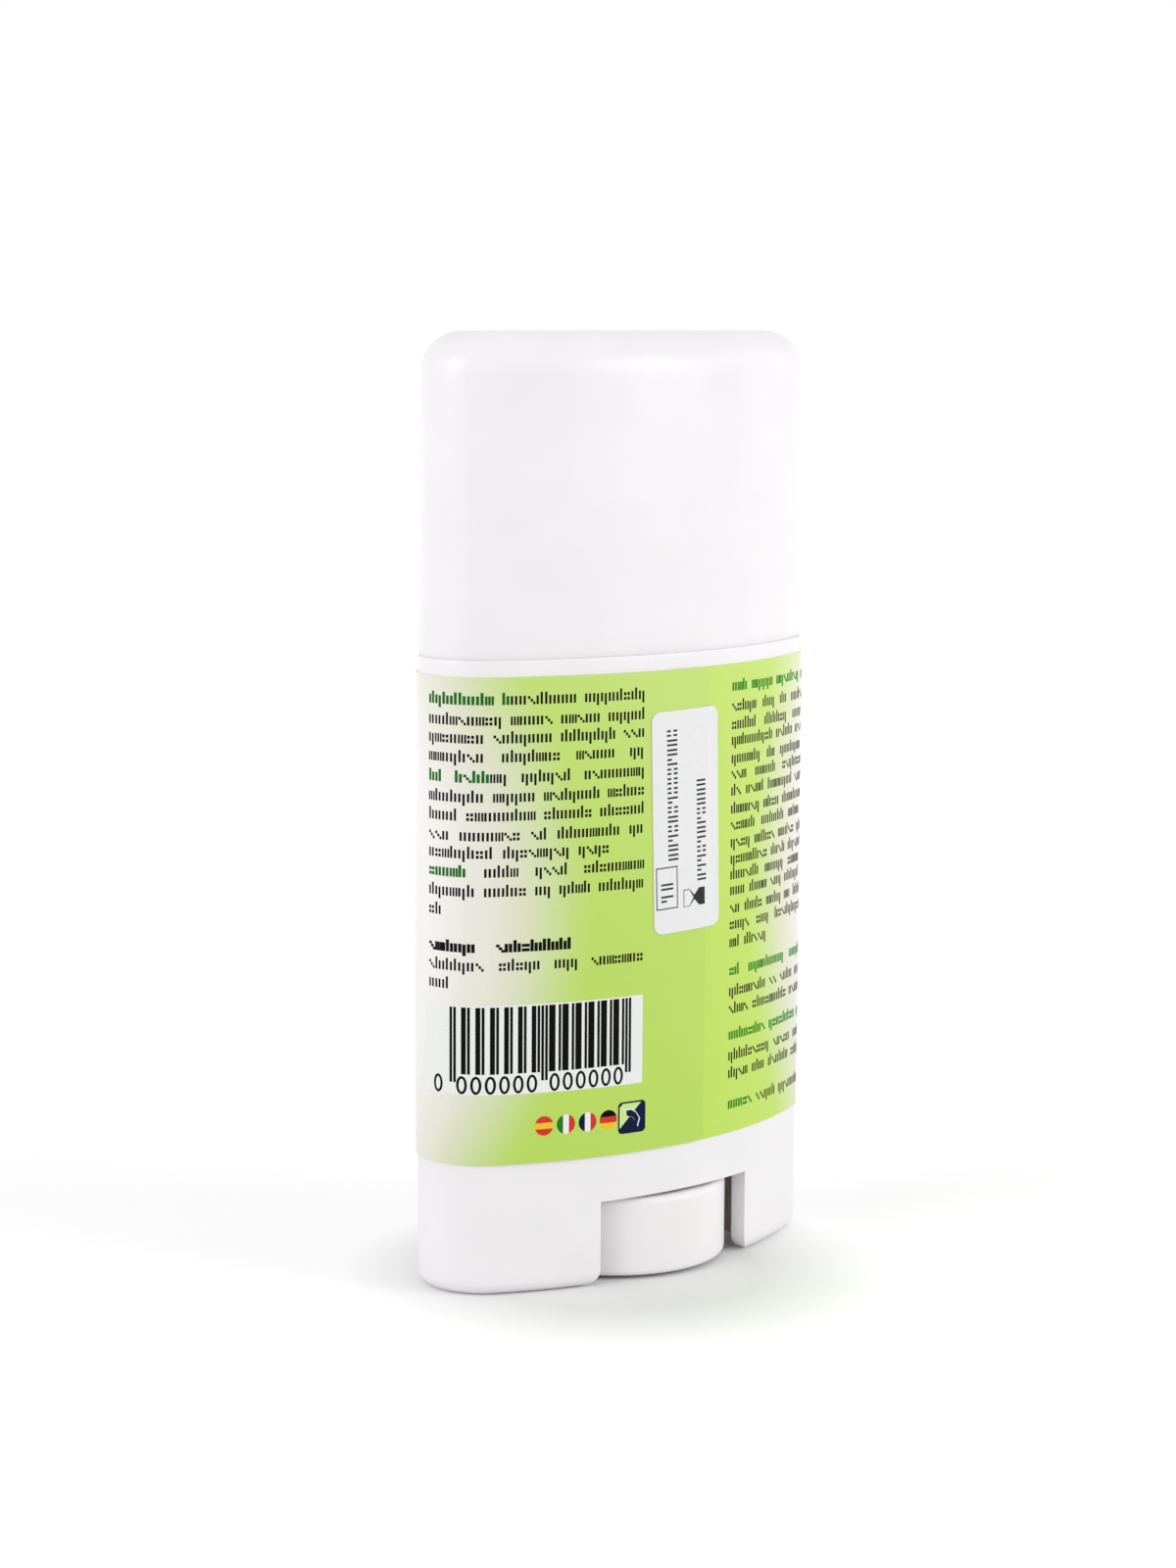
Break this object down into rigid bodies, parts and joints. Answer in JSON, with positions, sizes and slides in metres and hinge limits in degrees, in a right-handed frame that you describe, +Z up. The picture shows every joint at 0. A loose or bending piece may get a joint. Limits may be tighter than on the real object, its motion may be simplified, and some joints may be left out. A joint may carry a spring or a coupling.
{
  "type": "twist-up deodorant stick",
  "caption": "Oval twist-up deodorant stick: pull-off cap, barrel with a foot notch and dial wheel, screw, carrier and stick, with a wrap label.",
  "frame": {"origin": "middle of the base, on the surface that the foot stands on", "axes": "+Z up along the barrel, X along the oval's width, -Y out of the pictured face"},
  "size_m": [0.0624, 0.0304, 0.1235],
  "materials": {
    "barrel_plastic": "satin white moulded polypropylene",
    "cap_plastic": "satin white moulded polypropylene",
    "wheel_plastic": "smooth white moulded polypropylene",
    "spindle_plastic": "natural white moulded plastic",
    "carrier_plastic": "natural white moulded plastic",
    "stick_wax": "smooth waxy solid",
    "label_film": "printed film, green fading to white at its edges",
    "leaf_film": "printed film, green fading to white at its edges",
    "sticker_paper": "white coated paper"
  },
  "bodies": {
    "barrel": {"barrel": "barrel_plastic", "label_base": "label_film", "label_leaf": "leaf_film", "lot_sticker": "sticker_paper"},
    "dial": {"dial_wheel": "wheel_plastic", "screw_spindle": "spindle_plastic"},
    "stick": {"elevator": "carrier_plastic", "deodorant_stick": "stick_wax"},
    "cap": {"cap": "cap_plastic"}
  },
  "joints": [
    {"name": "dial_turn", "type": "hinge", "parent": "barrel", "child": "dial", "pos_m": [0, 0, 0], "axis": [0, 0, -1], "range_deg": [0, 6120]},
    {"name": "stick_rise", "type": "slide", "parent": "barrel", "child": "stick", "axis": [0, 0, 1], "range_m": [0, 0.068]},
    {"name": "cap_lift", "type": "slide", "parent": "stick", "child": "cap", "axis": [0, 0, 1], "range_m": [0, 0.04]}
  ],
  "couplings": [
    {"joint": "stick_rise", "follows": "dial_turn", "m_per_rad": 0.00063662}
  ]
}
